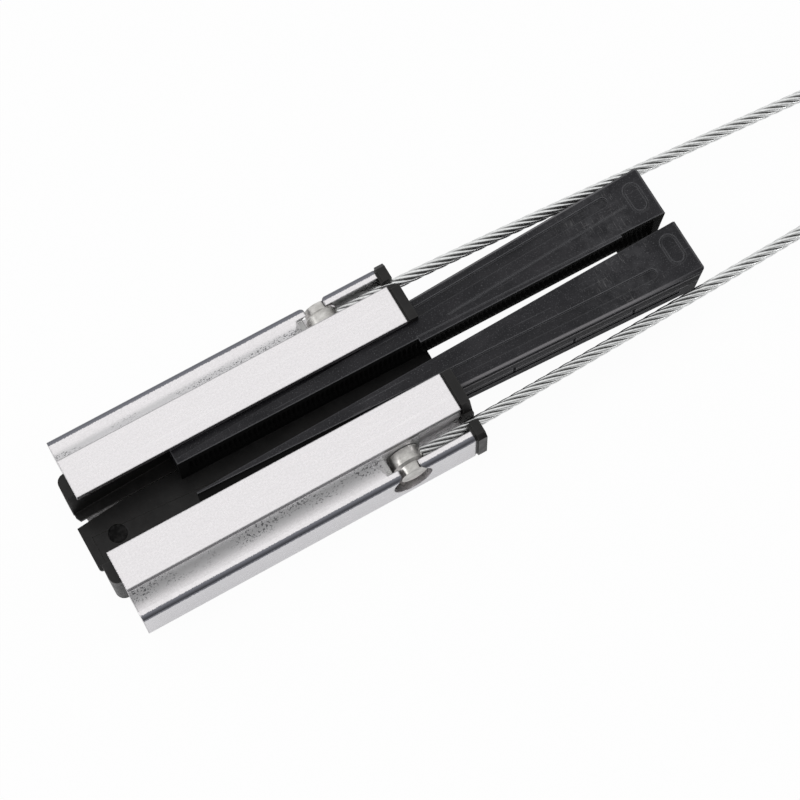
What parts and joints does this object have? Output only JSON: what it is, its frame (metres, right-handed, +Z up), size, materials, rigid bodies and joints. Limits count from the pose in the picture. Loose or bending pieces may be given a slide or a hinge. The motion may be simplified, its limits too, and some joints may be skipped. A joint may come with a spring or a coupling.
{
  "type": "cable dead-end wedge clamp",
  "caption": "Wedge dead-end clamp for an overhead service cable: an open aluminium body with tapered plastic guides, toothed jaw wedges that slide in it, and a steel rope bail.",
  "frame": {"origin": "centre of the clamp body's flat underside", "axes": "+X along the rails towards the bail, +Z up out of the open side, +Y towards the far rail"},
  "size_m": [0.3952, 0.0892, 0.03],
  "materials": {
    "body": "bare extrusion, satin with fine scuffs",
    "guide": "moulded black, satin",
    "wedge": "moulded black, satin with pale scuffs",
    "ferrule": "pressed, dull grey",
    "rope": "stranded stainless wire"
  },
  "bodies": {
    "frame": {"clamp_body": "body", "guide_far": "guide", "guide_near": "guide", "ferrule_far": "ferrule", "ferrule_near": "ferrule", "bail_rope": "rope"},
    "far_wedge": {"wedge_far": "wedge"},
    "near_wedge": {"wedge_near": "wedge"}
  },
  "joints": [
    {"name": "far_wedge_slide", "type": "slide", "parent": "frame", "child": "far_wedge", "axis": [0.999, 0.0436, 0], "range_m": [-0.04, 0.003]},
    {"name": "near_wedge_slide", "type": "slide", "parent": "frame", "child": "near_wedge", "axis": [0.999, -0.0436, 0], "range_m": [-0.0413, 0.0017]}
  ]
}
